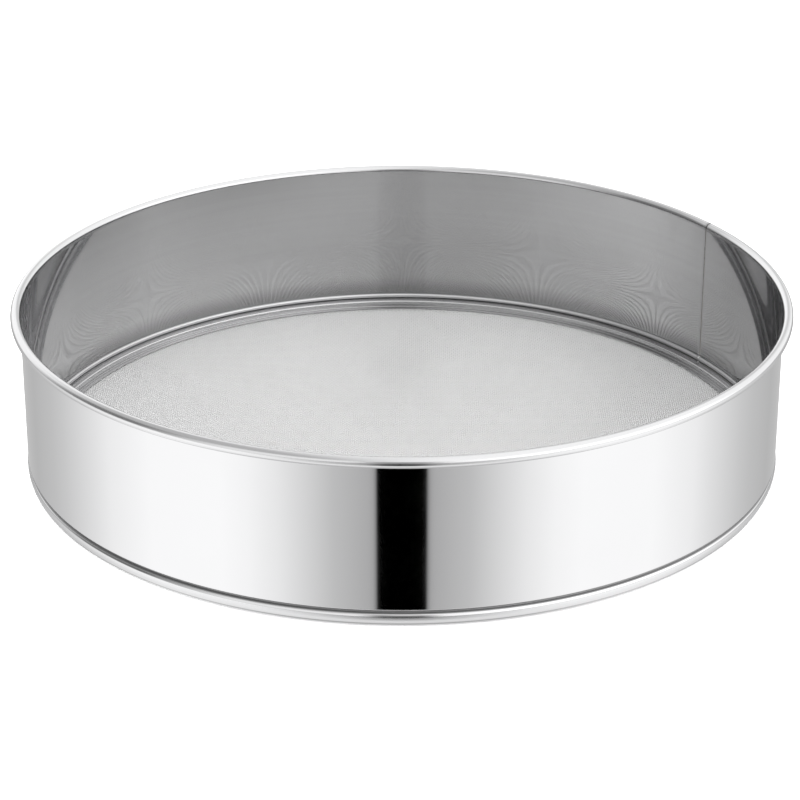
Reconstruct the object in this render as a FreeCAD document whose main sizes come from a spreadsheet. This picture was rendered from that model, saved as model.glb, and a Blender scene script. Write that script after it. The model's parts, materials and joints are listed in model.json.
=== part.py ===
import FreeCAD, Part
import os
import re

import Sketcher

# Soil sieve: a polished steel hoop with a wired rim, and woven wire cloth clamped near its foot.
# Millimetres. The axis of the hoop is Z, and the origin is the middle of the circle it stands on.

SIZES = {
    # whole sieve
    "outer_radius": 150.0,
    "total_height": 66.0,
    "sheet": 0.4,
    # the rim: the strip is curled outwards round a stiffening wire
    "rim_radius": 2.0,
    "rim_end_angle": 45.0,
    "wire_clearance": 0.15,
    # the groove rolled into the hoop above its foot
    "groove_height": 5.9,
    "groove_radius": 0.55,
    "groove_corner": 0.45,
    # the foot: the strip bulges out past the wall, then curls in under the clamp rings and ends in a hem
    "foot_overhang": 0.3,
    "foot_middle": 3.7,
    "foot_bulge": 5.0,
    "foot_corner": 1.2,
    "foot_flat": 0.8,
    "foot_inner": 142.7,
    "hem_top": 4.0,
    "hem_end": 145.1,
    # the seam where the ends of the strip meet
    "seam_azimuth": 31.0,
    "seam_gap": 0.5,
    "weld_recess": 0.02,
    # the two dished rings that hold the cloth between their inner flanges
    "clamp_sheet": 0.4,
    "clamp_bend": 0.3,
    "clamp_outer": 145.6,
    "clamp_wall": 141.75,
    "clamp_inner": 139.7,
    "clamp_top": 4.9,
    "clamp_seat": 2.35,
    "layer_gap": 0.05,
    # the cloth, as thick as two of its wires
    "cloth_radius": 141.85,
    "cloth_thickness": 0.5,
}

CENTRE = 3  # the number that a sketch gives to an arc's centre

doc = FreeCAD.newDocument("soil_sieve")


def make_sheet():
    """Put every driving size in a spreadsheet cell with the size's own name."""
    sheet = doc.addObject("Spreadsheet::Sheet", "Sizes")
    for row, (alias, value) in enumerate(SIZES.items(), start=1):
        sheet.set(f"A{row}", alias)
        sheet.set(f"B{row}", str(value))
        sheet.setAlias(f"B{row}", alias)
    doc.recompute()
    return sheet


sizes = make_sheet()


def bound(formula):
    """Turn a formula in size names into an expression that reads the sheet's cells."""
    return re.sub(r"[a-z_]+", lambda word: f"Sizes.{word[0]}" if word[0] in SIZES else word[0], formula)


def value_of(formula):
    """The present value of such a formula, for laying out a sketch before it is solved."""
    return float(sizes.evalExpression(bound(formula)))


def plane(body, role):
    return next(f for f in body.Origin.OriginFeatures if f.Role == role)


def profile_sketch(body, edges):
    """Draw a closed section in the XZ plane, bound to the sheet.

    Each edge starts at a corner (radius, height) and runs to the next edge's corner. A line has no more.
    An arc also has its centre, and +1 or -1 for the way that it turns. All the places are formulas.
    """
    sketch = body.newObject("Sketcher::SketchObject", "Section")
    sketch.AttachmentSupport = [(plane(body, "XZ_Plane"), "")]
    sketch.MapMode = "FlatFace"
    corners = [FreeCAD.Vector(value_of(edge[0]), value_of(edge[1]), 0) for edge in edges]
    ends = []  # the numbers of each edge's first and last points, along the way round the section
    for index, edge in enumerate(edges):
        start, end = corners[index], corners[(index + 1) % len(edges)]
        if len(edge) == 2:
            sketch.addGeometry(Part.LineSegment(start, end))
            ends.append((1, 2))
            continue
        centre_x, centre_z, turn = edge[2:]
        centre = FreeCAD.Vector(value_of(centre_x), value_of(centre_z), 0)
        circle = Part.Circle(centre, FreeCAD.Vector(0, 0, 1), centre.distanceToPoint(start))
        first, last = (start, end) if turn > 0 else (end, start)
        arc = Part.ArcOfCircle(circle, circle.parameter(first), circle.parameter(last))
        sketch.addGeometry(arc)
        ends.append((1, 2) if turn > 0 else (2, 1))
    for index in range(len(edges)):
        after = (index + 1) % len(edges)
        meeting = Sketcher.Constraint("Coincident", index, ends[index][1], after, ends[after][0])
        sketch.addConstraint(meeting)
    for index, edge in enumerate(edges):
        place(sketch, "DistanceX", index, ends[index][0], edge[0])
        place(sketch, "DistanceY", index, ends[index][0], edge[1])
        if len(edge) > 2:
            place(sketch, "DistanceX", index, CENTRE, edge[2])
    return sketch


def place(sketch, kind, index, point, formula):
    """Bind one coordinate of a corner or a centre, measured from the sketch's origin."""
    number = sketch.addConstraint(Sketcher.Constraint(kind, -1, 1, index, point, value_of(formula)))
    sketch.setExpression(f"Constraints[{number}]", bound(formula))


def turned_body(name, edges, angle="360"):
    """A body made by turning a section round the Z axis."""
    body = doc.addObject("PartDesign::Body", name)
    sketch = profile_sketch(body, edges)
    turned = body.newObject("PartDesign::Revolution", "Turned")
    turned.Profile = (sketch, [""])
    turned.ReferenceAxis = (sketch, ["V_Axis"])
    turned.setExpression("Angle", bound(angle))
    sketch.Visibility = False
    return body


# Places that several sub-parts share, as formulas in the sheet's names.
RIM_X = "outer_radius - rim_radius"
RIM_Z = "total_height - rim_radius"
WALL_IN = "outer_radius - 2 * rim_radius"
WALL_OUT = f"{WALL_IN} + sheet"
GROOVE_X = f"{WALL_OUT} - groove_corner"
GROOVE_TOP = "groove_height + groove_radius"
BAND_EDGE = f"{GROOVE_TOP} + groove_corner"
FOOT_OUT = f"{WALL_OUT} + foot_overhang"
# The groove runs on into a shoulder, an arc that ends where the foot is widest.
REACH = "(groove_corner + foot_overhang)"
FALL = "(groove_height - foot_middle)"
SHOULDER = f"(({FALL} ^ 2 / (groove_radius + {REACH}) - groove_radius + {REACH}) / 2)"
SHOULDER_X = f"({FOOT_OUT} - {SHOULDER})"
# Below that, the foot is a large arc and then a corner arc, down to the flat that it stands on.
BULGE_X = f"({FOOT_OUT} - foot_bulge)"
BULGE_SPAN = "(foot_bulge - foot_corner)"
BULGE_FALL = "(foot_middle - foot_corner)"
BULGE_REACH = f"sqrt({BULGE_SPAN} ^ 2 - {BULGE_FALL} ^ 2)"
CORNER_X = f"({BULGE_X} + {BULGE_REACH})"
CURL_X = f"({CORNER_X} - foot_flat)"
CURL = f"({CURL_X} - foot_inner)"


def groove_end(radius):
    """Where an arc of this radius round the groove's centre meets the shoulder."""
    share = f"({radius}) / (groove_radius + {SHOULDER})"
    return f"{GROOVE_X} + ({SHOULDER_X} - ({GROOVE_X})) * {share}", f"groove_height - {FALL} * {share}"


def bulge_end(radius):
    """Where an arc of this radius round the bulge's centre meets the foot's corner."""
    share = f"({radius}) / {BULGE_SPAN}"
    return f"{BULGE_X} + {BULGE_REACH} * {share}", f"foot_middle - {BULGE_FALL} * {share}"


def make_hoop():
    """The strip: wall, outward curl at the rim, rolled groove, bulging foot and hem."""
    reach = "rim_radius * cos(rim_end_angle)"
    drop = "rim_radius * sin(rim_end_angle)"
    inner_reach = "(rim_radius - sheet) * cos(rim_end_angle)"
    inner_drop = "(rim_radius - sheet) * sin(rim_end_angle)"
    edges = [
        (WALL_IN, BAND_EDGE),
        (WALL_IN, RIM_Z, RIM_X, RIM_Z, -1),
        (f"{RIM_X} - {reach}", f"{RIM_Z} - {drop}"),
        (f"{RIM_X} - {inner_reach}", f"{RIM_Z} - {inner_drop}", RIM_X, RIM_Z, 1),
        (WALL_OUT, RIM_Z),
        (WALL_OUT, BAND_EDGE, GROOVE_X, BAND_EDGE, -1),
        (GROOVE_X, GROOVE_TOP, GROOVE_X, "groove_height", 1),
        (*groove_end("groove_radius"), SHOULDER_X, "foot_middle", -1),
        (FOOT_OUT, "foot_middle", BULGE_X, "foot_middle", -1),
        (*bulge_end("foot_bulge"), CORNER_X, "foot_corner", -1),
        (CORNER_X, "0"),
        (CURL_X, "0", CURL_X, CURL, -1),
        ("foot_inner", CURL),
        ("foot_inner", f"hem_top - {CURL}", CURL_X, f"hem_top - {CURL}", -1),
        (CURL_X, "hem_top"),
        ("hem_end", "hem_top"),
        ("hem_end", "hem_top - sheet"),
        (CURL_X, "hem_top - sheet", CURL_X, f"hem_top - {CURL}", 1),
        ("foot_inner + sheet", f"hem_top - {CURL}"),
        ("foot_inner + sheet", CURL, CURL_X, CURL, 1),
        (CURL_X, "sheet"),
        (CORNER_X, "sheet", CORNER_X, "foot_corner", 1),
        (*bulge_end("foot_bulge - sheet"), BULGE_X, "foot_middle", 1),
        (f"{FOOT_OUT} - sheet", "foot_middle", SHOULDER_X, "foot_middle", 1),
        (*groove_end("groove_radius + sheet"), GROOVE_X, "groove_height", -1),
        (GROOVE_X, f"{GROOVE_TOP} + sheet", GROOVE_X, BAND_EDGE, 1),
    ]
    hoop = turned_body("hoop", edges, f"360 - seam_gap / ({WALL_OUT}) * 180 / pi")
    hoop.Placement = FreeCAD.Placement(
        FreeCAD.Vector(), FreeCAD.Rotation(FreeCAD.Vector(0, 0, 1), value_of("seam_azimuth"))
    )
    return hoop


def make_seam_weld():
    """The weld that closes the wall's seam, a little below both of the strip's faces."""
    weld = doc.addObject("Part::Box", "seam_weld")
    weld.setExpression("Length", bound("sheet - 2 * weld_recess"))
    weld.setExpression("Width", bound("seam_gap - 2 * weld_recess"))
    weld.setExpression("Height", bound(f"{RIM_Z} - ({BAND_EDGE})"))
    radius = value_of(f"{WALL_IN} + weld_recess")
    side = value_of("weld_recess - seam_gap")
    turn = FreeCAD.Rotation(FreeCAD.Vector(0, 0, 1), value_of("seam_azimuth"))
    corner = turn.multVec(FreeCAD.Vector(radius, side, 0))
    corner.z = value_of(BAND_EDGE)
    weld.Placement = FreeCAD.Placement(corner, turn)
    return weld


def make_rim_wire():
    """The wire inside the rim's curl."""
    wire = doc.addObject("Part::Torus", "rim_wire")
    wire.setExpression("Radius1", bound(RIM_X))
    wire.setExpression("Radius2", bound("rim_radius - sheet - wire_clearance"))
    wire.setExpression("Placement.Base.z", bound(RIM_Z))
    return wire


def make_clamp_ring(name, outward, top, seat):
    """A dished ring: outer flange at height top, wall, and inner flange with its upper face at seat."""
    near = f"clamp_wall + {outward}"
    far = f"{near} + clamp_sheet"
    small = "clamp_bend"
    large = "(clamp_bend + clamp_sheet)"
    under_top = f"{top} - clamp_sheet"
    under_seat = f"{seat} - clamp_sheet"
    edges = [
        ("clamp_outer", top),
        (f"{near} + {large}", top, f"{near} + {large}", f"{top} - {large}", 1),
        (near, f"{top} - {large}"),
        (near, f"{seat} + {small}", f"{near} - {small}", f"{seat} + {small}", -1),
        (f"{near} - {small}", seat),
        ("clamp_inner", seat),
        ("clamp_inner", under_seat),
        (f"{far} - {large}", under_seat, f"{far} - {large}", f"{under_seat} + {large}", 1),
        (far, f"{under_seat} + {large}"),
        (far, f"{under_top} - {small}", f"{far} + {small}", f"{under_top} - {small}", -1),
        (f"{far} + {small}", under_top),
        ("clamp_outer", under_top),
    ]
    return turned_body(name, edges)


def make_mesh_cloth():
    """The woven cloth, as one plain disc of its full thickness."""
    cloth = doc.addObject("Part::Cylinder", "mesh_cloth")
    cloth.setExpression("Radius", bound("cloth_radius"))
    cloth.setExpression("Height", bound("cloth_thickness"))
    cloth.setExpression("Placement.Base.z", bound("clamp_seat - clamp_sheet - layer_gap - cloth_thickness"))
    return cloth


LAYER = "(clamp_sheet + layer_gap)"
LOWER_SEAT = f"clamp_seat - {LAYER} - cloth_thickness - layer_gap"

parts = [
    make_hoop(),
    make_seam_weld(),
    make_rim_wire(),
    make_clamp_ring("upper_clamp_ring", "0", "clamp_top", "clamp_seat"),
    make_clamp_ring("lower_clamp_ring", LAYER, f"clamp_top - {LAYER}", LOWER_SEAT),
    make_mesh_cloth(),
]
doc.recompute()

for item in doc.Objects:
    if "Invalid" in item.State or "Error" in item.State:
        raise RuntimeError(f"{item.Name} failed: {item.State}")
for part in parts:
    if part.Shape.isNull() or not part.Shape.isValid():
        raise RuntimeError(f"{part.Label} has no valid shape")

os.makedirs("parts", exist_ok=True)
for part in parts:
    part.Shape.exportStep(f"parts/{part.Label}.step")
    print(f"{part.Label}: {part.Shape.Volume:.0f} mm3")
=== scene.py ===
import json
import math

import bmesh
import bpy
from mathutils import Euler, Matrix, Vector

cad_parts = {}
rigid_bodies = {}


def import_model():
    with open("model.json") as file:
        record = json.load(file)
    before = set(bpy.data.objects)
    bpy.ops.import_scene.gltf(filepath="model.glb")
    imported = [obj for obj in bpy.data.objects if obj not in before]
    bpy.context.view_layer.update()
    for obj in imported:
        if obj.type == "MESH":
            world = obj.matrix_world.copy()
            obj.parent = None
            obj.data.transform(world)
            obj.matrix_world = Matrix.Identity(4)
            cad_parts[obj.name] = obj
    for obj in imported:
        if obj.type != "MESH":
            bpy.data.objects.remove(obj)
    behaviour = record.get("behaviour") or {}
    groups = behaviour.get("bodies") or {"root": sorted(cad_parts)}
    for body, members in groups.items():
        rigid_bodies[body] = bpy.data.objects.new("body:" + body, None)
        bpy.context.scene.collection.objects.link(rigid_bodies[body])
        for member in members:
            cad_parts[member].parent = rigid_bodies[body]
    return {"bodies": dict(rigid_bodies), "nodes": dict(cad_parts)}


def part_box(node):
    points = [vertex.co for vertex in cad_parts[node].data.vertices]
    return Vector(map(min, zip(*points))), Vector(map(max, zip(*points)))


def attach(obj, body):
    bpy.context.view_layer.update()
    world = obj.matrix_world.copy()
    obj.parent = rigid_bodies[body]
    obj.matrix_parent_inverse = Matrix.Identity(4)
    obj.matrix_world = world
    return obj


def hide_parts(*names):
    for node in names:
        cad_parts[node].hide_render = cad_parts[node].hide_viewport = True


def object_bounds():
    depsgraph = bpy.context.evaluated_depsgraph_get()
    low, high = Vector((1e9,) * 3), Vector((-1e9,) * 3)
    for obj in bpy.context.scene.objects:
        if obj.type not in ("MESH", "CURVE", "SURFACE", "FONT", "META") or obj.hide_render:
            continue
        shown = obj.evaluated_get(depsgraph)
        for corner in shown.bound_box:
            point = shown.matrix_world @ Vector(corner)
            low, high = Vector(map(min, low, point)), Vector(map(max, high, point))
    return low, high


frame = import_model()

bl_info = {
    "name": "Soil Sieve",
    "version": (1, 0, 0),
    "blender": (4, 5, 0),
    "location": "3D View > Sidebar > Sieve",
    "description": "A drum sieve of polished steel with woven wire cloth, built round its frame",
    "category": "Add Mesh",
}

CAD_LOW, CAD_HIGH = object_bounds()
HOOP_LOW, HOOP_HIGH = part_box("hoop")
UPPER_LOW, UPPER_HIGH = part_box("upper_clamp_ring")
LOWER_LOW, LOWER_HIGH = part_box("lower_clamp_ring")
CLOTH_LOW, CLOTH_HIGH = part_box("mesh_cloth")
WELD_LOW, WELD_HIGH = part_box("seam_weld")
BODY = next(iter(frame["bodies"]))


def radii(node):
    """The least and the greatest distance of a CAD node from the axis."""
    reach = [corner.co.xy.length for corner in frame["nodes"][node].data.vertices]
    return min(reach), max(reach)


OUTER_RADIUS = radii("hoop")[1]
CLOTH_RADIUS = radii("mesh_cloth")[1]

MERGE = 0.000001
NO_CREASE = math.pi
FLOOR_GAP = 0.00002
BOUNCES = 24


# ---------------------------------------------------------------- what a user would change

def length(name, description, default):
    return bpy.props.FloatProperty(
        name=name, description=description, default=default, min=0.0, precision=5, unit="LENGTH"
    )


def angle(name, description, degrees):
    return bpy.props.FloatProperty(
        name=name, description=description, default=math.radians(degrees), subtype="ANGLE"
    )


def count(name, description, default, low):
    return bpy.props.IntProperty(name=name, description=description, default=default, min=low)


def colour(name, description, default):
    return bpy.props.FloatVectorProperty(
        name=name, description=description, default=default, size=3, min=0.0, max=1.0, subtype="COLOR"
    )


class HoopSizes(bpy.types.PropertyGroup):
    sheet: length("Sheet", "Thickness of the strip", 0.0004)
    rim_radius: length("Rim radius", "Outer radius of the curl at the rim", 0.002)
    rim_end: angle("Rim end", "How far past its lowest point the rim's curl goes on", 45)
    groove_height: length("Groove height", "Middle of the rolled groove above the ground", 0.0059)
    groove_radius: length("Groove radius", "Radius of the groove, on the outside", 0.00055)
    groove_corner: length("Groove corner", "Radius where the wall turns into the groove", 0.00045)
    foot_overhang: length("Foot overhang", "How far the foot stands out past the wall", 0.0003)
    foot_middle: length("Foot middle", "Height of the foot's widest place", 0.0037)
    foot_bulge: length("Foot bulge", "Radius of the foot below its widest place", 0.005)
    foot_corner: length("Foot corner", "Radius where the foot turns in to the ground", 0.0012)
    foot_flat: length("Foot flat", "Width of the flat that the sieve stands on", 0.0008)
    foot_inner: length("Foot inner", "Inner radius of the foot's curl", 0.1427)
    hem_top: length("Hem top", "Height of the hem under the clamp rings", 0.004)
    hem_end: length("Hem end", "Radius at which the hem ends", 0.1451)
    seam_azimuth: angle("Seam azimuth", "Where the strip's ends meet, from +X towards +Y", 31)
    seam_gap: length("Seam gap", "Distance between the strip's ends", 0.0005)
    steps: count("Steps", "Steps round the hoop", 400, 60)


class RingSizes(bpy.types.PropertyGroup):
    sheet: length("Ring sheet", "Thickness of the clamp rings", 0.0004)
    bend: length("Ring bend", "Inside radius of the rings' bends", 0.0003)
    wall: length("Ring wall", "Inner radius of the upper ring's wall", 0.14175)
    steps: count("Steps", "Steps round a ring", 400, 60)


class WeldSizes(bpy.types.PropertyGroup):
    ripple_pitch: length("Ripple pitch", "Distance between the weld's ripples", 0.0005)
    ripple_depth: length("Ripple depth", "Depth of the weld's ripples", 0.00003)


class ClothSizes(bpy.types.PropertyGroup):
    pitch: length("Pitch", "Distance between neighbouring wires", 0.00085)
    end_gap: length("End gap", "How far the wires stop short of the cloth's edge", 0.0002)
    sides: count("Sides", "Faces round a wire", 4, 3)
    piece_crossings: count("Crossings", "Most crossings in one piece of the cloth", 23500, 100)


class Finishes(bpy.types.PropertyGroup):
    polished: colour("Polished steel", "The hoop's strip", (0.58, 0.58, 0.585))
    ring: colour("Ring steel", "The pressed clamp rings", (0.56, 0.56, 0.565))
    wire: colour("Wire steel", "The bright wires of the cloth", (0.74, 0.74, 0.74))
    weld: colour("Weld steel", "The dressed weld", (0.34, 0.335, 0.33))
    stiffener: colour("Stiffener steel", "The wire inside the rim", (0.58, 0.58, 0.58))


class StudioSettings(bpy.types.PropertyGroup):
    focal: bpy.props.FloatProperty(
        name="Focal length", description="Camera lens", default=120.465, min=1.0, unit="CAMERA"
    )
    distance: length("Distance", "From the camera to the point that it looks at", 1.0515)
    elevation: angle("Elevation", "Camera's height above the horizon", 24.24)
    target_height: length("Target height", "Point of the axis that the camera looks at", 0.0205)
    sidestep: length("Sidestep", "How far left of the axis the camera stands", 0.0007)
    floor_size: length("Floor size", "Side of the floor", 8.0)


class SieveSettings(bpy.types.PropertyGroup):
    hoop: bpy.props.PointerProperty(type=HoopSizes)
    rings: bpy.props.PointerProperty(type=RingSizes)
    weld: bpy.props.PointerProperty(type=WeldSizes)
    cloth: bpy.props.PointerProperty(type=ClothSizes)
    finishes: bpy.props.PointerProperty(type=Finishes)
    studio: bpy.props.PointerProperty(type=StudioSettings)


# ---------------------------------------------------------------- shaping

def trace(bm, start, moves, arc_step=math.radians(10), margin=0.00008):
    """Draw a closed outline in the XZ plane.

    A move is a straight run to (x, z), or a turn about a centre (x, z, angle), positive from +X to +Z.
    A long straight run gets a corner close to each end, so that it shades flat beside a bend.
    """
    tip = bmesh.ops.create_vert(bm, co=(start[0], 0, start[1]))["vert"][0]
    for move in moves:
        if len(move) == 3:
            x, z, turn = move
            steps = max(2, math.ceil(abs(turn) / arc_step))
            arc = bmesh.ops.spin(
                bm, geom=[tip], cent=(x, 0, z), axis=(0, -1, 0), angle=turn, steps=steps
            )
            tip = arc["geom_last"][0]
            continue
        goal = Vector((move[0], 0, move[1]))
        way = goal - tip.co
        stops = [goal]
        if way.length > 4 * margin:
            inset = way.normalized() * margin
            stops = [tip.co + inset, goal - inset, goal]
        for stop in stops:
            tip = bmesh.ops.extrude_vert_indiv(bm, verts=[tip])["verts"][0]
            tip.co = stop
    bmesh.ops.remove_doubles(bm, verts=bm.verts[:], dist=MERGE)


def turn_round(bm, steps, gap=0.0, doublings=4):
    """Turn the outline round the Z axis, all the way, or short of a gap whose two ends are then closed.

    One sector is spun, and the mesh is then doubled and turned on until it goes round.
    """
    sector = (math.tau - gap) / 2 ** doublings
    bmesh.ops.spin(
        bm, geom=bm.verts[:] + bm.edges[:], cent=(0, 0, 0), axis=(0, 0, 1),
        angle=sector, steps=round(steps / 2 ** doublings), use_merge=False,
    )
    for _ in range(doublings):
        whole = bm.verts[:] + bm.edges[:] + bm.faces[:]
        copied = bmesh.ops.duplicate(bm, geom=whole)["geom"]
        corners = [item for item in copied if isinstance(item, bmesh.types.BMVert)]
        bmesh.ops.rotate(bm, verts=corners, cent=(0, 0, 0), matrix=Matrix.Rotation(sector, 3, "Z"))
        sector *= 2
    bmesh.ops.remove_doubles(bm, verts=bm.verts[:], dist=MERGE)
    if gap:
        bmesh.ops.holes_fill(bm, edges=[edge for edge in bm.edges if edge.is_boundary])
    bmesh.ops.recalc_face_normals(bm, faces=bm.faces[:])


def new_piece(bm, name, material, node, crease=math.radians(40)):
    """Turn the mesh into a piece of the sieve that stands for a CAD node."""
    mesh = bpy.data.meshes.new(name)
    bm.to_mesh(mesh)
    bm.free()
    mesh.shade_smooth()
    if crease < NO_CREASE:
        mesh.set_sharp_from_angle(angle=crease)
    mesh.materials.append(material)
    piece = bpy.data.objects.new(name, mesh)
    bpy.context.scene.collection.objects.link(piece)
    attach(piece, BODY)
    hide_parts(node)


# ---------------------------------------------------------------- shader building

def put(tree, kind, links=None, values=None, **settings):
    """Add a node with its settings, the values of its inputs, and the sockets that feed them."""
    node = tree.nodes.new(kind)
    for key, value in settings.items():
        setattr(node, key, value)
    for key, value in (values or {}).items():
        node.inputs[key].default_value = value
    for key, source in (links or {}).items():
        tree.links.new(source, node.inputs[key])
    return node


def maths(tree, operation, *values):
    """One step of arithmetic on sockets or plain numbers."""
    node = tree.nodes.new("ShaderNodeMath")
    node.operation = operation
    for socket, value in zip(node.inputs, values):
        if isinstance(value, bpy.types.NodeSocket):
            tree.links.new(value, socket)
        else:
            socket.default_value = value
    return node.outputs[0]


def scaled(tree, source, low, high, from_low=0.0, from_high=1.0):
    """Spread a value from one range over another."""
    limits = {"From Min": from_low, "From Max": from_high, "To Min": low, "To Max": high}
    return put(tree, "ShaderNodeMapRange", {"Value": source}, limits).outputs["Result"]


def tinted(tree, mask, plain, marked):
    """A colour that goes from plain, a colour or a socket, to marked as the mask goes from 0 to 1."""
    mix = put(tree, "ShaderNodeMix", data_type="RGBA", clamp_factor=True)
    tree.links.new(mask, mix.inputs["Factor"])
    if isinstance(plain, bpy.types.NodeSocket):
        tree.links.new(plain, mix.inputs[6])
    else:
        mix.inputs[6].default_value = (*plain, 1)
    mix.inputs[7].default_value = (*marked, 1)
    return mix.outputs[2]


def new_group(name, inputs, outputs):
    """An empty shader group with named number inputs, a Vector input, and number outputs."""
    group = bpy.data.node_groups.new(name, "ShaderNodeTree")
    group.interface.new_socket("Vector", in_out="INPUT", socket_type="NodeSocketVector")
    for label, default in inputs.items():
        socket = group.interface.new_socket(label, in_out="INPUT", socket_type="NodeSocketFloat")
        socket.default_value = default
    for label in outputs:
        group.interface.new_socket(label, in_out="OUTPUT", socket_type="NodeSocketFloat")
    given = group.nodes.new("NodeGroupInput")
    result = group.nodes.new("NodeGroupOutput")
    return group, given.outputs, result.inputs


def radius_of(tree, place):
    """The distance of a place from the axis."""
    squares = [maths(tree, "MULTIPLY", place[axis], place[axis]) for axis in "XY"]
    return maths(tree, "SQRT", maths(tree, "ADD", *squares))


def make_turned_marks():
    """Fine lines that run round the axis, as rolling, turning and polishing leave them, and their wear."""
    group, given, result = new_group(
        "turned_marks", {"Line Density": 3000.0, "Line Waver": 12.0}, ["Lines", "Bands"]
    )
    place = put(group, "ShaderNodeSeparateXYZ", {0: given["Vector"]}).outputs
    across = radius_of(group, place)
    level = maths(group, "MULTIPLY", maths(group, "ADD", across, place["Z"]), given["Line Density"])
    for label, share in (("Lines", 1.0), ("Bands", 0.12)):
        spread = put(group, "ShaderNodeCombineXYZ", {
            "X": maths(group, "MULTIPLY", place["X"], given["Line Waver"]),
            "Y": maths(group, "MULTIPLY", place["Y"], given["Line Waver"]),
            "Z": maths(group, "MULTIPLY", level, share),
        })
        noise = put(
            group, "ShaderNodeTexNoise", {"Vector": spread.outputs[0]},
            {"Scale": 1.0, "Detail": 3.0, "Roughness": 0.6},
        )
        group.links.new(noise.outputs["Fac"], result[label])


def make_handling():
    """Cloudy wiping marks and a few fine specks of dust, as on any bright steel that has been handled."""
    group, given, result = new_group(
        "handling", {"Cloud Scale": 22.0, "Speck Scale": 900.0, "Speck Size": 0.12}, ["Clouds", "Specks"]
    )
    clouds = put(
        group, "ShaderNodeTexNoise", {"Vector": given["Vector"], "Scale": given["Cloud Scale"]},
        {"Detail": 5.0, "Roughness": 0.6, "Distortion": 0.4},
    )
    cells = put(
        group, "ShaderNodeTexVoronoi", {"Vector": given["Vector"], "Scale": given["Speck Scale"]},
        {"Randomness": 1.0}, feature="F1",
    )
    speck = maths(group, "LESS_THAN", cells.outputs["Distance"], given["Speck Size"])
    group.links.new(clouds.outputs["Fac"], result["Clouds"])
    group.links.new(speck, result["Specks"])


def make_round_bend():
    """A mask that is 1 near a circle round the axis and fades out, for painted shade and rougher bends."""
    group, given, result = new_group(
        "round_bend", {"Radius": 0.1, "Height": 0.0, "Core": 0.0005, "Fade": 0.0003}, ["Mask"]
    )
    place = put(group, "ShaderNodeSeparateXYZ", {0: given["Vector"]}).outputs
    out = maths(group, "SUBTRACT", radius_of(group, place), given["Radius"])
    up = maths(group, "SUBTRACT", place["Z"], given["Height"])
    away = maths(group, "SQRT", maths(
        group, "ADD", maths(group, "MULTIPLY", out, out), maths(group, "MULTIPLY", up, up)
    ))
    past = maths(group, "DIVIDE", maths(group, "SUBTRACT", away, given["Core"]), given["Fade"])
    mask = put(group, "ShaderNodeMapRange", {"Value": past}, {"To Min": 1.0, "To Max": 0.0})
    mask.interpolation_type = "SMOOTHSTEP"
    group.links.new(mask.outputs["Result"], result["Mask"])


def placed(tree, group_name, vector, **values):
    """Put a shared group in a material, fed by a vector, with its own values."""
    node = tree.nodes.new("ShaderNodeGroup")
    node.node_tree = bpy.data.node_groups[group_name]
    tree.links.new(vector, node.inputs["Vector"])
    for key, value in values.items():
        node.inputs[key.replace("_", " ")].default_value = value
    return node.outputs


def near_circle(tree, place, radius, height, core, fade):
    """The round_bend mask for a circle of this radius at this height."""
    return placed(tree, "round_bend", place, Radius=radius, Height=height, Core=core, Fade=fade)["Mask"]


def new_metal(name):
    """A metal with nothing linked yet: its tree, its shader's inputs, and its object coordinates."""
    material = bpy.data.materials.new(name)
    material.use_nodes = True
    tree = material.node_tree
    shader = tree.nodes["Principled BSDF"].inputs
    shader["Metallic"].default_value = 1.0
    place = tree.nodes.new("ShaderNodeTexCoord").outputs["Object"]
    return material, tree, shader, place


def relief(tree, shader, height, depth):
    """Raise the surface by a height from 0 to 1 times a depth in metres."""
    bump = put(tree, "ShaderNodeBump", {"Height": height}, {"Strength": 1.0, "Distance": depth})
    tree.links.new(bump.outputs["Normal"], shader["Normal"])


def darker(tint, share):
    return [channel * share for channel in tint]


# Where the strip's finish changes, in metres: the painted shade in the groove, the painted shade low on
# the wall above it, the bends, the circle that the foot lies round, and the tint beside the weld.
GROOVE_SHADE_MARGIN = 0.0001
GROOVE_SHADE_FADE = 0.0002
LOW_SHADE_START = 0.0012
LOW_SHADE_FADE = 0.009
BEND_FADE = 0.0003
FOOT_INSET = 0.0018
FOOT_LEVEL = 0.0024
FOOT_REACH = 0.0028
FOOT_FADE = 0.0004
WALL_MARGIN = 0.0002
HEAT_START = 0.0004
HEAT_END = 0.0016

# How bright the strip stays where it is wiped, streaked or heated, and under the painted shade low on the
# wall and in the groove, as a share of its colour.
WIPED = 0.96
STREAKED = 0.72
LOW_WALL_SHADED = 0.5
HEATED = 0.75
GROOVE_SHADED = 0.36


def near_seam(tree, place, azimuth):
    """A mask that is 1 beside the seam and fades out round the strip: the tint of the weld's heat."""
    along = (math.cos(azimuth), math.sin(azimuth), 0)
    across = (-along[1], along[0], 0)
    ahead, aside = (
        put(tree, "ShaderNodeVectorMath", {0: place}, {1: way}, operation="DOT_PRODUCT").outputs["Value"]
        for way in (along, across)
    )
    close = scaled(tree, maths(tree, "ABSOLUTE", aside), 1.0, 0.0, HEAT_START, HEAT_END)
    return maths(tree, "MULTIPLY", close, maths(tree, "GREATER_THAN", ahead, 0.0))


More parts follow.
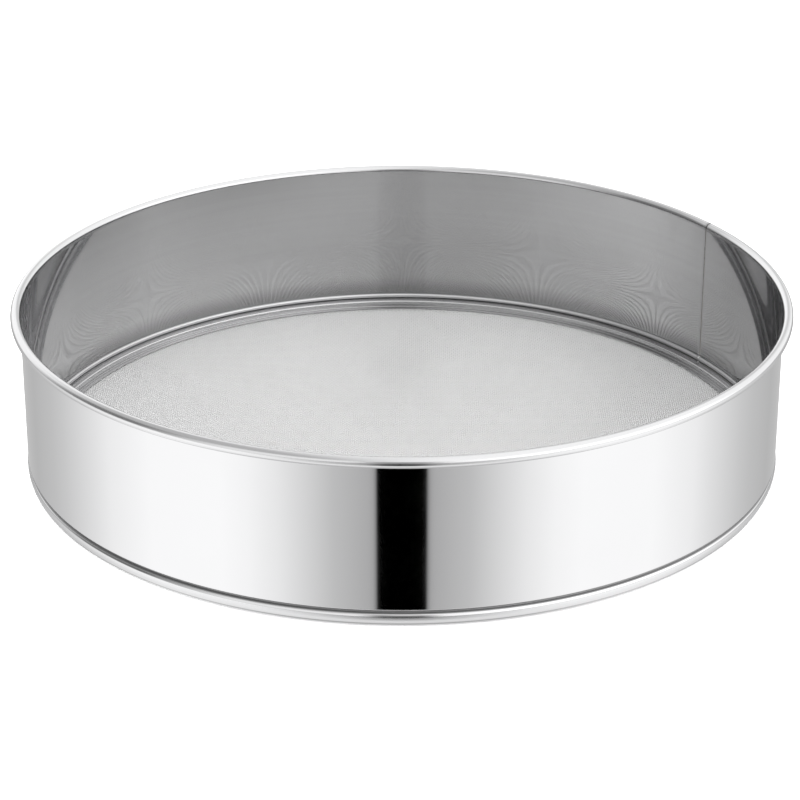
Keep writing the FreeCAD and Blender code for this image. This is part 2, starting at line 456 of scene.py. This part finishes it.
def polished_steel(tint, sizes):
    """Mirror-bright strip with faint rolling lines, wiping marks and dust.

    Its bends and the inside of its wall are less bright. Painted shade darkens the groove outside, and
    painted shade darkens the wall low down inside.
    """
    material, tree, shader, place = new_metal("polished_steel")
    lines = placed(tree, "turned_marks", place, Line_Density=5000.0, Line_Waver=6.0)
    marks = placed(tree, "handling", place, Cloud_Scale=18.0, Speck_Scale=500.0, Speck_Size=0.05)
    rim = OUTER_RADIUS - sizes.rim_radius
    wall = rim - sizes.rim_radius
    groove = wall + sizes.sheet - sizes.groove_corner
    level = HOOP_LOW.z + sizes.groove_height
    # Painted shade: the colour is darkened in the groove outside and low on the wall inside.
    crease_shade = near_circle(tree, place, groove, level, sizes.groove_radius + GROOVE_SHADE_MARGIN, GROOVE_SHADE_FADE)
    low_wall_shade = near_circle(tree, place, groove, level, LOW_SHADE_START, LOW_SHADE_FADE)
    ridge = near_circle(tree, place, groove, level, sizes.groove_radius + sizes.sheet, BEND_FADE)
    foot = near_circle(tree, place, groove - FOOT_INSET, HOOP_LOW.z + FOOT_LEVEL, FOOT_REACH, FOOT_FADE)
    bead_level = HOOP_HIGH.z - sizes.rim_radius
    bead = near_circle(tree, place, rim, bead_level, sizes.rim_radius, BEND_FADE)
    bends = maths(tree, "MAXIMUM", ridge, maths(tree, "MULTIPLY_ADD", bead, 0.5, foot))
    spot = put(tree, "ShaderNodeSeparateXYZ", {0: place}).outputs
    on_wall = maths(tree, "COMPARE", radius_of(tree, spot), wall, WALL_MARGIN)
    wiped = tinted(tree, marks["Clouds"], tint, darker(tint, WIPED))
    streaks = scaled(tree, lines["Bands"], low=0.4, high=0.7)
    clean = tinted(tree, maths(tree, "MULTIPLY", streaks, on_wall), wiped, darker(tint, STREAKED))
    # Painted shade low on the inner wall, above the groove.
    low_shaded = tinted(tree, maths(tree, "MULTIPLY", low_wall_shade, on_wall), clean, darker(tint, LOW_WALL_SHADED))
    heated = tinted(tree, near_seam(tree, place, sizes.seam_azimuth), low_shaded, darker(tint, HEATED))
    # Painted shade in the groove outside.
    tree.links.new(tinted(tree, crease_shade, heated, darker(tint, GROOVE_SHADED)), shader["Base Color"])
    cloudy = scaled(tree, marks["Clouds"], 0.02, 0.05, 0.35, 0.7)
    lined = maths(tree, "MULTIPLY_ADD", lines["Lines"], 0.02, cloudy)
    dusty = maths(tree, "MULTIPLY_ADD", marks["Specks"], 0.12, lined)
    bent = maths(tree, "MULTIPLY_ADD", bends, 0.3, dusty)
    tree.links.new(maths(tree, "MULTIPLY_ADD", crease_shade, 0.1, bent), shader["Roughness"])
    relief(tree, shader, lines["Lines"], depth=0.0000004)
    return material


def ring_steel(tint, sizes):
    """Pressed rings, less bright than the strip, plainer turning lines, painted shade beside the cloth."""
    material, tree, shader, place = new_metal("ring_steel")
    lines = placed(tree, "turned_marks", place, Line_Density=9000.0, Line_Waver=9.0)
    marks = placed(tree, "handling", place, Cloud_Scale=40.0, Speck_Scale=700.0, Speck_Size=0.07)
    corner = UPPER_LOW.z + sizes.sheet
    # Painted shade: the colour is darkened in the ring's corner beside the cloth, on top of the turning
    # bands.
    crease_shade = near_circle(tree, place, sizes.wall, corner, core=sizes.bend, fade=0.001)
    bands_and_corner_shade = maths(tree, "MULTIPLY_ADD", lines["Bands"], 0.5, maths(tree, "MULTIPLY", crease_shade, 0.5))
    tree.links.new(tinted(tree, bands_and_corner_shade, tint, darker(tint, share=0.6)), shader["Base Color"])
    cloudy = scaled(tree, marks["Clouds"], 0.12, 0.22, 0.3, 0.7)
    lined = maths(tree, "MULTIPLY_ADD", lines["Lines"], 0.1, cloudy)
    tree.links.new(maths(tree, "MULTIPLY_ADD", marks["Specks"], 0.1, lined), shader["Roughness"])
    relief(tree, shader, lines["Lines"], depth=0.000003)
    return material


def mesh_steel(tint):
    """Bright drawn wire: clouds from handling and a few dull specks between the crossings."""
    material, tree, shader, place = new_metal("mesh_steel")
    marks = placed(tree, "handling", place, Cloud_Scale=30.0, Speck_Scale=1600.0, Speck_Size=0.15)
    cloudy = scaled(tree, marks["Clouds"], 0.32, 0.42, 0.3, 0.7)
    tree.links.new(maths(tree, "MULTIPLY_ADD", marks["Specks"], 0.15, cloudy), shader["Roughness"])
    shader["Base Color"].default_value = (*tint, 1)
    relief(tree, shader, marks["Clouds"], depth=0.00002)
    return material


def weld_steel(tint):
    """The dressed weld: a little straw-coloured from the heat, and scratched by the dressing."""
    material, tree, shader, place = new_metal("weld_steel")
    marks = placed(tree, "handling", place, Cloud_Scale=260.0, Speck_Scale=2600.0, Speck_Size=0.2)
    straw = (tint[0], tint[1] * 0.93, tint[2] * 0.82)
    tree.links.new(tinted(tree, marks["Clouds"], tint, straw), shader["Base Color"])
    rough = scaled(tree, marks["Clouds"], 0.22, 0.42, 0.3, 0.7)
    tree.links.new(maths(tree, "MULTIPLY_ADD", marks["Specks"], 0.15, rough), shader["Roughness"])
    relief(tree, shader, marks["Clouds"], depth=0.00002)
    return material


def stiffener_steel(tint):
    """Drawn wire with die lines along it and a dull skin."""
    material, tree, shader, place = new_metal("stiffener_steel")
    lines = placed(tree, "turned_marks", place, Line_Density=7000.0, Line_Waver=5.0)
    marks = placed(tree, "handling", place, Cloud_Scale=120.0, Speck_Scale=1500.0, Speck_Size=0.15)
    tree.links.new(tinted(tree, marks["Clouds"], tint, darker(tint, share=0.75)), shader["Base Color"])
    tree.links.new(scaled(tree, lines["Lines"], low=0.25, high=0.45), shader["Roughness"])
    relief(tree, shader, lines["Lines"], depth=0.000006)
    return material


# ---------------------------------------------------------------- operators

class SIEVE_OT_hoop(bpy.types.Operator):
    """Make the hoop: a strip with a curled rim, a rolled groove and a curled foot"""

    bl_idname = "sieve.hoop"
    bl_label = "Hoop"

    def execute(self, context):
        sizes = context.scene.sieve.hoop
        bm = bmesh.new()
        start, moves = self.section(sizes)
        trace(bm, start, moves)
        wall = OUTER_RADIUS - 2 * sizes.rim_radius + sizes.sheet
        turn_round(bm, sizes.steps, sizes.seam_gap / wall)
        bmesh.ops.rotate(
            bm, verts=bm.verts[:], cent=(0, 0, 0), matrix=Matrix.Rotation(sizes.seam_azimuth, 3, "Z")
        )
        material = polished_steel(context.scene.sieve.finishes.polished, sizes)
        new_piece(bm, "hoop_strip", material, "hoop")
        return {"FINISHED"}

    def section(self, sizes):
        """The strip's outline, from the top of the groove on its inside, up the wall and round."""
        sheet = sizes.sheet
        rim_x = OUTER_RADIUS - sizes.rim_radius
        rim_z = HOOP_HIGH.z - sizes.rim_radius
        wall_in = rim_x - sizes.rim_radius
        wall_out = wall_in + sheet
        groove_x = wall_out - sizes.groove_corner
        groove_z = HOOP_LOW.z + sizes.groove_height
        band_edge = groove_z + sizes.groove_radius + sizes.groove_corner
        reach = sizes.groove_corner + sizes.foot_overhang
        fall = sizes.groove_height - sizes.foot_middle
        shoulder = (fall ** 2 / (sizes.groove_radius + reach) - sizes.groove_radius + reach) / 2
        foot_out = groove_x + reach
        foot_z = HOOP_LOW.z + sizes.foot_middle
        shoulder_x = foot_out - shoulder
        shoulder_turn = math.asin(fall / (sizes.groove_radius + shoulder))
        bulge_x = foot_out - sizes.foot_bulge
        bulge_span = sizes.foot_bulge - sizes.foot_corner
        bulge_turn = math.asin((sizes.foot_middle - sizes.foot_corner) / bulge_span)
        corner_x = bulge_x + bulge_span * math.cos(bulge_turn)
        corner_z = HOOP_LOW.z + sizes.foot_corner
        curl_x = corner_x - sizes.foot_flat
        curl = curl_x - sizes.foot_inner
        curl_z = HOOP_LOW.z + curl
        hem_z = HOOP_LOW.z + sizes.hem_top
        rim_turn = math.radians(270) + sizes.rim_end
        lip = Vector((math.cos(math.pi + sizes.rim_end), math.sin(math.pi + sizes.rim_end)))
        lip_inner = Vector((rim_x, rim_z)) + lip * (sizes.rim_radius - sheet)
        quarter = math.pi / 2
        moves = [
            (wall_in, rim_z),
            (rim_x, rim_z, -rim_turn),
            (lip_inner.x, lip_inner.y),
            (rim_x, rim_z, rim_turn),
            (wall_out, band_edge),
            (groove_x, band_edge, -quarter),
            (groove_x, groove_z, quarter + shoulder_turn),
            (shoulder_x, foot_z, -shoulder_turn),
            (bulge_x, foot_z, -bulge_turn),
            (corner_x, corner_z, bulge_turn - quarter),
            (curl_x, HOOP_LOW.z),
            (curl_x, curl_z, -quarter),
            (sizes.foot_inner, hem_z - curl),
            (curl_x, hem_z - curl, -quarter),
            (sizes.hem_end, hem_z),
            (sizes.hem_end, hem_z - sheet),
            (curl_x, hem_z - sheet),
            (curl_x, hem_z - curl, quarter),
            (sizes.foot_inner + sheet, curl_z),
            (curl_x, curl_z, quarter),
            (corner_x, HOOP_LOW.z + sheet),
            (corner_x, corner_z, quarter - bulge_turn),
            (bulge_x, foot_z, bulge_turn),
            (shoulder_x, foot_z, shoulder_turn),
            (groove_x, groove_z, -quarter - shoulder_turn),
            (groove_x, band_edge, quarter),
        ]
        return (wall_in, band_edge), moves


class SIEVE_OT_rings(bpy.types.Operator):
    """Make the two dished rings that hold the cloth"""

    bl_idname = "sieve.rings"
    bl_label = "Clamp rings"

    def execute(self, context):
        sizes = context.scene.sieve.rings
        material = ring_steel(context.scene.sieve.finishes.ring, sizes)
        outward = UPPER_HIGH.z - LOWER_HIGH.z
        self.ring("upper", sizes, sizes.wall, UPPER_LOW.z, UPPER_HIGH.z, material)
        self.ring("lower", sizes, sizes.wall + outward, LOWER_LOW.z, LOWER_HIGH.z, material)
        return {"FINISHED"}

    def ring(self, which, sizes, near, bottom, top, material):
        """Spin one ring: outer flange, wall, and inner flange."""
        inner, outer = radii(f"{which}_clamp_ring")
        sheet, small = sizes.sheet, sizes.bend
        large = small + sheet
        far = near + sheet
        quarter = math.pi / 2
        moves = [
            (near + large, top),
            (near + large, top - large, quarter),
            (near, bottom + sheet + small),
            (near - small, bottom + sheet + small, -quarter),
            (inner, bottom + sheet),
            (inner, bottom),
            (far - large, bottom),
            (far - large, bottom + large, quarter),
            (far, top - sheet - small),
            (far + small, top - sheet - small, -quarter),
            (outer, top - sheet),
            (outer, top),
        ]
        bm = bmesh.new()
        trace(bm, (outer, top), moves)
        turn_round(bm, sizes.steps)
        new_piece(bm, f"{which}_ring_pressing", material, f"{which}_clamp_ring")


# The weld stands this far inside the strip's faces and ends, and its corners are rounded.
WELD_RECESS = 0.00002
WELD_ROUNDING = 0.00008


class SIEVE_OT_weld(bpy.types.Operator):
    """Make the weld in the strip's seam"""

    bl_idname = "sieve.weld"
    bl_label = "Seam weld"

    def execute(self, context):
        hoop = context.scene.sieve.hoop
        weld = context.scene.sieve.weld
        depth = hoop.sheet - 2 * WELD_RECESS
        width = hoop.seam_gap - 2 * WELD_RECESS
        height = WELD_HIGH.z - WELD_LOW.z
        inner = OUTER_RADIUS - 2 * hoop.rim_radius + WELD_RECESS
        bm = bmesh.new()
        bmesh.ops.create_cube(bm, size=1.0, matrix=Matrix.Diagonal((depth, width, height, 1)))
        bmesh.ops.bevel(
            bm, geom=self.upright(bm, height), offset=WELD_ROUNDING, offset_type="OFFSET", affect="EDGES",
            segments=3, profile=0.5, material=-1,
        )
        ripples = round(height / weld.ripple_pitch) * 2
        bmesh.ops.subdivide_edges(bm, edges=self.upright(bm, height), cuts=ripples - 1)
        for corner in bm.verts:
            if round((corner.co.z / height + 0.5) * ripples) % 2:
                corner.co.x -= math.copysign(weld.ripple_depth, corner.co.x)
        middle = Vector((inner + depth / 2, -hoop.seam_gap / 2, (WELD_LOW.z + WELD_HIGH.z) / 2))
        bmesh.ops.translate(bm, verts=bm.verts[:], vec=middle)
        bmesh.ops.rotate(
            bm, verts=bm.verts[:], cent=(0, 0, 0), matrix=Matrix.Rotation(hoop.seam_azimuth, 3, "Z")
        )
        bmesh.ops.recalc_face_normals(bm, faces=bm.faces[:])
        new_piece(bm, "seam_bead", weld_steel(context.scene.sieve.finishes.weld), "seam_weld")
        return {"FINISHED"}

    def upright(self, bm, height):
        """The edges that run the whole height of the weld."""
        return [edge for edge in bm.edges if abs(edge.verts[0].co.z - edge.verts[1].co.z) > height / 2]


class SIEVE_OT_cloth(bpy.types.Operator):
    """Weave the wire cloth, wire by wire, over and under"""

    bl_idname = "sieve.cloth"
    bl_label = "Woven cloth"

    def execute(self, context):
        sizes = context.scene.sieve.cloth
        material = mesh_steel(context.scene.sieve.finishes.wire)
        reach = CLOTH_RADIUS - sizes.end_gap
        lines = 2 * math.floor(reach / sizes.pitch) + 1
        middle = lines // 2
        wires = []
        for line in range(lines):
            offset = (line - middle) * sizes.pitch
            half = math.floor(math.sqrt(reach ** 2 - offset ** 2) / sizes.pitch)
            if half > 0:
                wires.append((line - middle, half))
        for way in ("warp", "weft"):
            for number, batch in enumerate(self.dealt(wires, sizes.piece_crossings), start=1):
                bm = bmesh.new()
                single = bpy.data.meshes.new("single_wire")
                for index, half in batch:
                    wire = self.weave(sizes, way, index, half)
                    wire.to_mesh(single)
                    wire.free()
                    bm.from_mesh(single)
                bpy.data.meshes.remove(single)
                name = f"{way}_wires_{number}"
                new_piece(bm, name, material, "mesh_cloth", crease=NO_CREASE)
        return {"FINISHED"}

    def dealt(self, wires, most):
        """Share the wires, in order, into the fewest batches of about equal crossings."""
        total = sum(2 * half + 1 for _, half in wires)
        batches = math.ceil(total / most)
        shares = [[] for _ in range(batches)]
        before = 0
        for index, half in wires:
            shares[min(batches - 1, before * batches // total)].append((index, half))
            before += 2 * half + 1
        return shares

    def weave(self, sizes, way, index, half):
        """One wire as a prism along X or Y, with a ring of corners at each crossing, up or down in turn."""
        thick = (CLOTH_HIGH.z - CLOTH_LOW.z) / 2
        run = 2 * half * sizes.pitch
        warp = way == "warp"
        side = index * sizes.pitch
        middle = Vector((0, side, 0) if warp else (side, 0, 0))
        middle.z = (CLOTH_LOW.z + CLOTH_HIGH.z) / 2
        turn = math.pi / sizes.sides
        radius = self.corner_radius(thick / 2, turn)
        lie = Euler((0, math.pi / 2, 0) if warp else (-math.pi / 2, 0, 0)).to_matrix().to_4x4()
        bm = bmesh.new()
        bmesh.ops.create_cone(
            bm, cap_ends=True, cap_tris=False, segments=sizes.sides, radius1=radius, radius2=radius,
            depth=run, matrix=Matrix.Translation(middle) @ lie @ Matrix.Rotation(turn, 4, "Z"),
        )
        axis = 0 if warp else 1
        long_edges = [
            edge for edge in bm.edges
            if abs(edge.verts[0].co[axis] - edge.verts[1].co[axis]) > run / 2
        ]
        bmesh.ops.subdivide_edges(bm, edges=long_edges, cuts=2 * half - 1)
        first = 1 if warp else -1
        for corner in bm.verts:
            crossing = round(corner.co[axis] / sizes.pitch)
            corner.co.z += first * (-1) ** (crossing + index) * thick / 2
        return bm

    def corner_radius(self, radius, turn):
        """The corner radius of a prism that has the same area as a round wire."""
        return radius * math.sqrt(turn / (math.sin(turn) * math.cos(turn)))


class SIEVE_OT_rim_wire(bpy.types.Operator):
    """Give the wire inside the rim its own finish"""

    bl_idname = "sieve.rim_wire"
    bl_label = "Rim wire"

    def execute(self, context):
        material = stiffener_steel(context.scene.sieve.finishes.stiffener)
        mesh = frame["nodes"]["rim_wire"].data
        mesh.materials.clear()
        mesh.materials.append(material)
        return {"FINISHED"}


# The light that falls on the floor from all round, and the backdrop that the camera sees.
FLOOR_LIGHT = 2.5
BACKDROP = 1.05

# The tent that the steel reflects, as angles in degrees and brightness. Its walls and its low sky go from the
# front (-Y) round to the back. The others go from straight down, over the horizon at 90, to straight up.
TENT_WALLS = [
    (0, 0.0), (7.2, 0.0), (7.9, 0.36), (9.5, 0.42), (20, 0.53), (28, 0.68), (37, 0.84), (46, 0.95),
    (55, 1.0), (80, 0.99), (97, 0.87), (105, 0.76), (114, 0.65), (122, 0.56), (130, 0.49), (146, 0.39),
    (180, 0.34),
]
TENT_SKY_LEFT = [
    (0, 0.2), (6, 0.2), (13, 0.85), (50, 0.8), (80, 0.15), (105, 0.2), (130, 0.9), (160, 0.95), (180, 0.9),
]
TENT_SKY_RIGHT = [
    (0, 0.15), (6, 0.15), (13, 0.7), (35, 1.0), (85, 1.0), (110, 0.7), (150, 0.65), (170, 0.4), (180, 0.4),
]
TENT_GROUND = [(0, 0.55), (20, 0.62), (34, 0.94), (41, 0.8), (50, 0.8), (60, 1.0)]
TENT_WALL_SHARE = [(38, 0.0), (50, 1.0)]
TENT_HORIZON = [(81, 1.0), (86, 0.7), (90, 0.7), (93, 1.0)]
TENT_STRENGTH = 1.66
RIGHT_SKY_STRENGTH = 1.35

# The roof's brightness at the left and at the right, and the stretch of X, from -1 to 1, where it changes.
TENT_ROOF = (0.45, 0.95)
ROOF_CHANGE = (-0.3, 0.1)

# Where the left sky gives way to the right one along X, and the walls to the sky and the sky to the roof
# along Z, each from -1 to 1.
SKY_CHANGE = (-0.1, 0.1)
WALL_TO_SKY = (-0.05, 0.05)
SKY_TO_ROOF = (0.5, 0.7)


class SIEVE_OT_stage(bpy.types.Operator):
    """Set up the floor, the studio's light and the camera"""

    bl_idname = "sieve.stage"
    bl_label = "Stage"

    def execute(self, context):
        studio = context.scene.sieve.studio
        self.floor(context.scene, studio)
        self.surroundings(context.scene)
        self.light(context.scene)
        self.camera(context.scene, studio)
        context.scene.view_settings.view_transform = "Standard"
        context.scene.cycles.max_bounces = BOUNCES
        context.scene.cycles.glossy_bounces = BOUNCES
        return {"FINISHED"}

    def floor(self, scene, studio):
        bm = bmesh.new()
        bmesh.ops.create_grid(bm, x_segments=1, y_segments=1, size=studio.floor_size / 2)
        bmesh.ops.translate(bm, verts=bm.verts[:], vec=(0, 0, CAD_LOW.z - FLOOR_GAP))
        mesh = bpy.data.meshes.new("floor")
        bm.to_mesh(mesh)
        bm.free()
        material = bpy.data.materials.new("pale_floor")
        material.use_nodes = True
        shader = material.node_tree.nodes["Principled BSDF"].inputs
        shader["Base Color"].default_value = (0.93, 0.93, 0.93, 1)
        shader["Roughness"].default_value = 1.0
        shader["Specular IOR Level"].default_value = 0.0
        mesh.materials.append(material)
        floor = bpy.data.objects.new("floor", mesh)
        floor.visible_glossy = False
        scene.collection.objects.link(floor)

    def surroundings(self, scene):
        """Soft white all round, and for reflections a tent with grey gaps and one dark slot in front."""
        world = bpy.data.worlds.new("studio")
        scene.world = world
        world.use_nodes = True
        world.cycles.sampling_method = "NONE"
        tree = world.node_tree
        tree.nodes.clear()
        way = put(
            tree, "ShaderNodeSeparateXYZ", {0: tree.nodes.new("ShaderNodeTexCoord").outputs["Generated"]}
        ).outputs
        front = maths(tree, "MULTIPLY", way["Y"], -1.0)
        azimuth = maths(tree, "ARCTAN2", maths(tree, "ABSOLUTE", way["X"]), front)
        elevation = maths(tree, "ADD", maths(tree, "ARCSINE", way["Z"]), math.pi / 2)
        walls = self.ramp(tree, azimuth, TENT_WALLS)
        ground = self.ramp(tree, elevation, TENT_GROUND)
        below = self.mix(tree, self.ramp(tree, elevation, TENT_WALL_SHARE), ground, walls)
        round_left = self.ramp(tree, azimuth, TENT_SKY_LEFT)
        round_right = maths(tree, "MULTIPLY", self.ramp(tree, azimuth, TENT_SKY_RIGHT), RIGHT_SKY_STRENGTH)
        to_right = scaled(tree, way["X"], 0.0, 1.0, *SKY_CHANGE)
        low_sky = self.mix(tree, to_right, round_left, round_right)
        roof = scaled(tree, way["X"], *TENT_ROOF, *ROOF_CHANGE)
        sky = self.mix(tree, scaled(tree, way["Z"], 0.0, 1.0, *SKY_TO_ROOF), low_sky, roof)
        above = scaled(tree, way["Z"], 0.0, 1.0, *WALL_TO_SKY)
        horizon = self.ramp(tree, elevation, TENT_HORIZON)
        tent = maths(tree, "MULTIPLY", horizon, self.mix(tree, above, below, sky))
        tent = maths(tree, "MULTIPLY", tent, TENT_STRENGTH)
        path = tree.nodes.new("ShaderNodeLightPath").outputs
        plain = scaled(tree, path["Is Camera Ray"], FLOOR_LIGHT, BACKDROP)
        background = put(
            tree, "ShaderNodeBackground", {"Color": self.mix(tree, path["Is Glossy Ray"], plain, tent)}
        )
        output = tree.nodes.new("ShaderNodeOutputWorld")
        tree.links.new(background.outputs[0], output.inputs["Surface"])

    def mix(self, tree, factor, first, second):
        """A value that goes from first to second as the factor goes from 0 to 1."""
        node = put(tree, "ShaderNodeMix", data_type="FLOAT")
        for socket, value in zip((node.inputs[0], node.inputs[2], node.inputs[3]), (factor, first, second)):
            if isinstance(value, bpy.types.NodeSocket):
                tree.links.new(value, socket)
            else:
                socket.default_value = value
        return node.outputs[0]

    def ramp(self, tree, turn, stops):
        """A grey that goes through the stops, each an angle in degrees out of 180 and a brightness."""
        node = put(tree, "ShaderNodeValToRGB", {"Fac": maths(tree, "DIVIDE", turn, math.pi)})
        band = node.color_ramp
        while len(band.elements) < len(stops):
            band.elements.new(0.5)
        for element, (place, grey) in zip(band.elements, stops):
            element.position = place / 180
            element.color = (grey, grey, grey, 1)
        return node.outputs["Color"]

    def light(self, scene):
        data = bpy.data.lights.new("overhead_softbox", "AREA")
        data.shape = "DISK"
        data.size = 1.2
        data.energy = 6.0
        lamp = bpy.data.objects.new("overhead_softbox", data)
        lamp.location = (-0.3, 0.2, 1.5)
        lamp.rotation_euler = (Vector((0, 0, 0)) - lamp.location).to_track_quat("-Z", "Y").to_euler()
        lamp.visible_glossy = False
        scene.collection.objects.link(lamp)

    def camera(self, scene, studio):
        data = bpy.data.cameras.new("camera")
        data.lens = studio.focal
        camera = bpy.data.objects.new("camera", data)
        back = studio.distance * math.cos(studio.elevation)
        up = studio.distance * math.sin(studio.elevation)
        camera.location = (-studio.sidestep, -back, CAD_LOW.z + studio.target_height + up)
        camera.rotation_euler = (math.pi / 2 - studio.elevation, 0, 0)
        scene.collection.objects.link(camera)
        scene.camera = camera


STEPS = (
    SIEVE_OT_hoop, SIEVE_OT_rings, SIEVE_OT_weld, SIEVE_OT_cloth, SIEVE_OT_rim_wire, SIEVE_OT_stage,
)


class SIEVE_PT_panel(bpy.types.Panel):
    """Lists the steps that make the sieve, and its main sizes"""

    bl_idname = "SIEVE_PT_panel"
    bl_label = "Soil sieve"
    bl_space_type = "VIEW_3D"
    bl_region_type = "UI"
    bl_category = "Sieve"

    def draw(self, context):
        for step in STEPS:
            self.layout.operator(step.bl_idname)
        sieve = context.scene.sieve
        for part in (sieve.hoop, sieve.rings, sieve.weld, sieve.cloth, sieve.finishes, sieve.studio):
            column = self.layout.column()
            for label in part.bl_rna.properties.keys():
                if label not in ("rna_type", "name"):
                    column.prop(part, label)


SETTINGS = (HoopSizes, RingSizes, WeldSizes, ClothSizes, Finishes, StudioSettings, SieveSettings)
CLASSES = SETTINGS + STEPS + (SIEVE_PT_panel,)


def register():
    for cls in CLASSES:
        bpy.utils.register_class(cls)
    bpy.types.Scene.sieve = bpy.props.PointerProperty(type=SieveSettings)


def unregister():
    del bpy.types.Scene.sieve
    for cls in reversed(CLASSES):
        bpy.utils.unregister_class(cls)


def main():
    register()
    make_turned_marks()
    make_handling()
    make_round_bend()
    bpy.ops.sieve.hoop()
    bpy.ops.sieve.rings()
    bpy.ops.sieve.weld()
    bpy.ops.sieve.cloth()
    bpy.ops.sieve.rim_wire()
    bpy.ops.sieve.stage()


if __name__ == "__main__":
    main()
